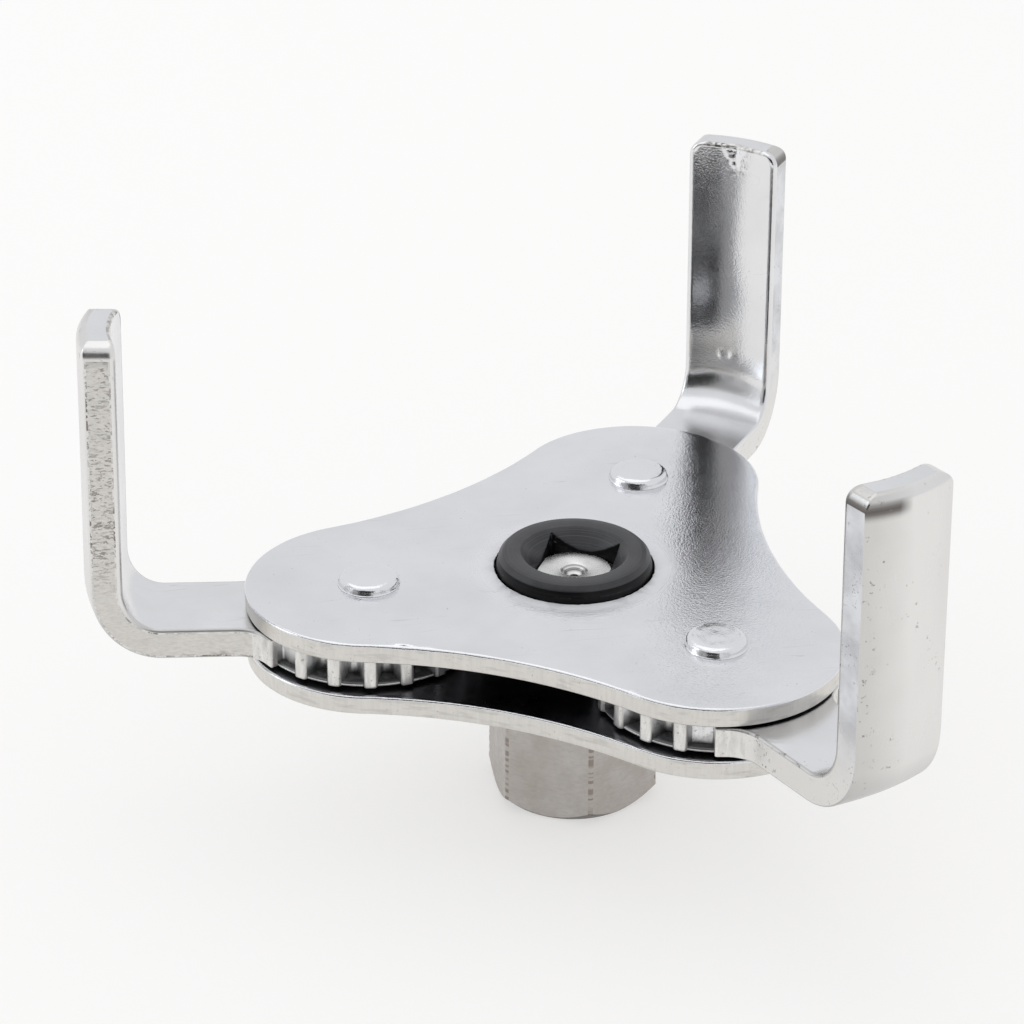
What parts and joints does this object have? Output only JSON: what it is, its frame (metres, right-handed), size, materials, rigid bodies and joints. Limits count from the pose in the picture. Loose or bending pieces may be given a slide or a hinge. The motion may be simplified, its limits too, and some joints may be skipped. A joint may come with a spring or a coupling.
{
  "type": "oil filter wrench",
  "caption": "Geared oil filter wrench: jaws swing in between riveted trefoil plates as the square drive turns, and close their upright claws on a filter.",
  "frame": {"origin": "drive axis at the bottom end face of the hex adapter, where a ratchet's square enters", "axes": "+Z along the drive axis, from the adapter towards the claws; the plates' lobes point to 180, 60 and 300 degrees in XY"},
  "size_m": [0.1048, 0.1167, 0.0718],
  "materials": {
    "zinc_plate": "bright zinc plated sheet steel, fine speckle, duller at the sheared edges",
    "zinc_rivet": "bright zinc plated, formed head",
    "zinc_jaw": "bright zinc plated bent steel bar with rough sheared edges",
    "plain_steel": "turned or drawn, bright",
    "black_oxide": "black oxide on turned steel, satin with fine turning rings",
    "satin_nickel": "satin nickel, slightly warm grey, fine grinding grain"
  },
  "bodies": {
    "frame": {"top_plate": "zinc_plate", "bottom_plate": "zinc_plate", "rivet_left": "zinc_rivet", "rivet_rear": "zinc_rivet", "rivet_right": "zinc_rivet", "bush_left": "plain_steel", "bush_rear": "plain_steel", "bush_right": "plain_steel"},
    "drive": {"drive_gear": "black_oxide"},
    "jaw_left": {"jaw_left": "zinc_jaw"},
    "jaw_rear": {"jaw_rear": "zinc_jaw"},
    "jaw_right": {"jaw_right": "zinc_jaw"},
    "adapter": {"hex_adapter": "satin_nickel", "detent_spring": "plain_steel"},
    "ball": {"detent_ball": "plain_steel"}
  },
  "joints": [
    {"name": "drive_spin", "type": "hinge", "parent": "frame", "child": "drive", "pos_m": [0, 0, 0.028], "axis": [0, 0, 1], "range_deg": [-129, 114]},
    {"name": "jaw_left_swing", "type": "hinge", "parent": "frame", "child": "jaw_left", "pos_m": [-0.02775, 0, 0.028], "axis": [0, 0, 1], "range_deg": [-103, 117]},
    {"name": "jaw_rear_swing", "type": "hinge", "parent": "frame", "child": "jaw_rear", "pos_m": [0.01388, 0.02403, 0.028], "axis": [0, 0, 1], "range_deg": [-103, 117]},
    {"name": "jaw_right_swing", "type": "hinge", "parent": "frame", "child": "jaw_right", "pos_m": [0.01388, -0.02403, 0.028], "axis": [0, 0, 1], "range_deg": [-103, 117]},
    {"name": "adapter_pull", "type": "slide", "parent": "drive", "child": "adapter", "axis": [0, 0, -1], "range_m": [0, 0.016]},
    {"name": "ball_press", "type": "slide", "parent": "adapter", "child": "ball", "axis": [-0.4848, -0.8746, 0], "range_m": [0, 0.0004], "stiffness_N_per_m": 400, "deforming": ["detent_spring"]}
  ],
  "couplings": [
    {"joint": "jaw_left_swing", "follows": "drive_spin", "ratio": -0.9},
    {"joint": "jaw_rear_swing", "follows": "drive_spin", "ratio": -0.9},
    {"joint": "jaw_right_swing", "follows": "drive_spin", "ratio": -0.9}
  ]
}
